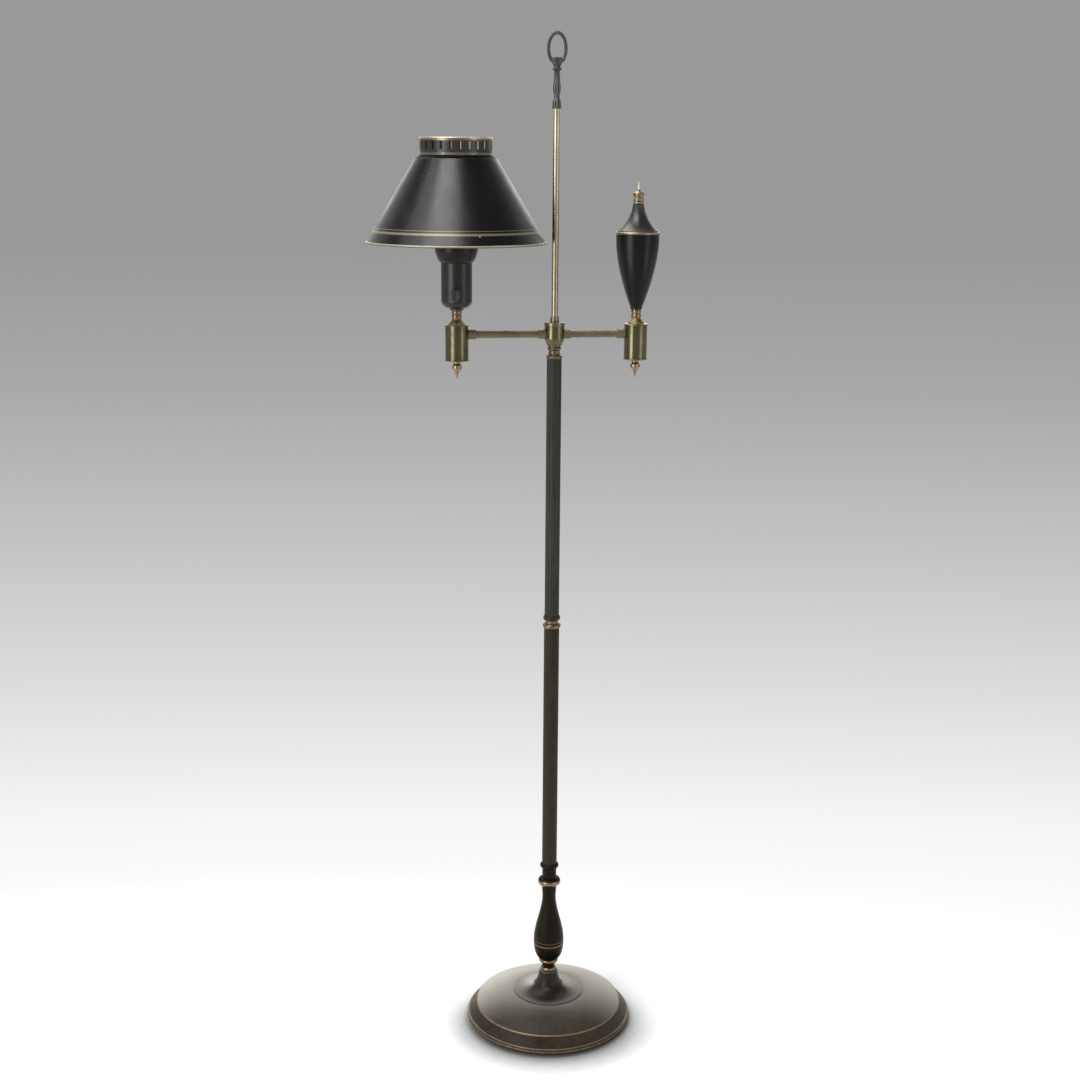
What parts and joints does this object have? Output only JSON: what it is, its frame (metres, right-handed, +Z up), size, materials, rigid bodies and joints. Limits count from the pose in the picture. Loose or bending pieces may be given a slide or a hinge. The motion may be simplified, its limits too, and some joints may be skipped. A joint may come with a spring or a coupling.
{
  "type": "floor lamp",
  "caption": "Floor lamp with a weighted domed base, fluted column and swinging arms that carry a shaded socket with a turn switch and a mock oil font.",
  "frame": {"origin": "on the floor, on the axis of the column", "axes": "+Z up; the arms lie along X at rest, with the socket towards -X and the oil font towards +X; the switch faces -Y"},
  "size_m": [0.4171, 0.255, 1.4901],
  "materials": {
    "black_lacquer": "satin black lacquer",
    "dark_bronze": "dark bronze patina",
    "antique_brass": "antique brass",
    "rod_brass": "worn bright brass",
    "copper": "copper-tinted brass",
    "cast_grey": "dark cast metal",
    "cast_iron": "rough casting",
    "steel": "zinc-plated steel",
    "contact_brass": "plain brass",
    "felt": "green felt",
    "black_plastic": "moulded black",
    "brown_phenolic": "moulded brown phenolic",
    "fibre": "pressed fibre",
    "bulb_glass": "frosted white glass",
    "opal_glass": "opal white glass"
  },
  "bodies": {
    "stand": {"base_felt": "felt", "base_weight": "cast_iron", "base_nut": "steel", "base_washer": "steel", "base_shell": "black_lacquer", "cord_bushing": "black_plastic", "base_cone": "black_lacquer", "spool": "copper", "baluster": "black_lacquer", "baluster_collar": "black_lacquer", "lower_column": "dark_bronze", "column_coupling": "antique_brass", "column_ferrule": "black_lacquer", "upper_column": "dark_bronze", "column_cap": "antique_brass", "friction_washer": "copper", "centre_pipe": "steel", "rod_collar": "antique_brass", "lift_rod": "rod_brass", "ring_finial": "cast_grey"},
    "arms": {"font_body": "black_lacquer", "font_lid": "black_lacquer", "socket_cover": "black_lacquer", "glass_holder": "black_lacquer", "hub_body": "antique_brass", "hub_cap": "antique_brass", "socket_arm": "antique_brass", "font_arm": "antique_brass", "socket_canister": "antique_brass", "socket_top_cap": "antique_brass", "socket_bottom_cap": "antique_brass", "font_canister": "antique_brass", "font_top_cap": "antique_brass", "font_bottom_cap": "antique_brass", "font_finial": "antique_brass", "socket_arm_ferrules": "copper", "font_arm_ferrules": "copper", "socket_neck": "copper", "font_neck": "copper", "socket_drop": "copper", "font_drop": "copper", "font_ring": "copper", "socket_pipe": "steel", "font_pipe": "steel", "lock_nuts": "steel", "bulb_cap": "steel", "screw_shell": "contact_brass", "centre_contact": "contact_brass", "switch_block": "brown_phenolic", "clamp_ring": "brown_phenolic", "socket_liner": "fibre", "bulb_glass": "bulb_glass", "glass_bowl": "opal_glass"},
    "switch": {"switch_stem": "contact_brass", "switch_knob": "black_plastic"},
    "shade": {"shade_cone": "black_lacquer", "shade_gallery": "black_lacquer", "shade_seat_ring": "steel"}
  },
  "joints": [
    {"name": "arm_swivel", "type": "hinge", "parent": "stand", "child": "arms", "pos_m": [0, 0, 1.0754], "axis": [0, 0, 1], "range_deg": [-165, 165]},
    {"name": "switch_turn", "type": "hinge", "parent": "arms", "child": "switch", "pos_m": [-0.14, 0, 1.1332], "axis": [-0.1392, -0.9903, 0], "continuous": true},
    {"name": "shade_lift", "type": "slide", "parent": "arms", "child": "shade", "axis": [0, 0, 1], "range_m": [0, 0.08]}
  ]
}
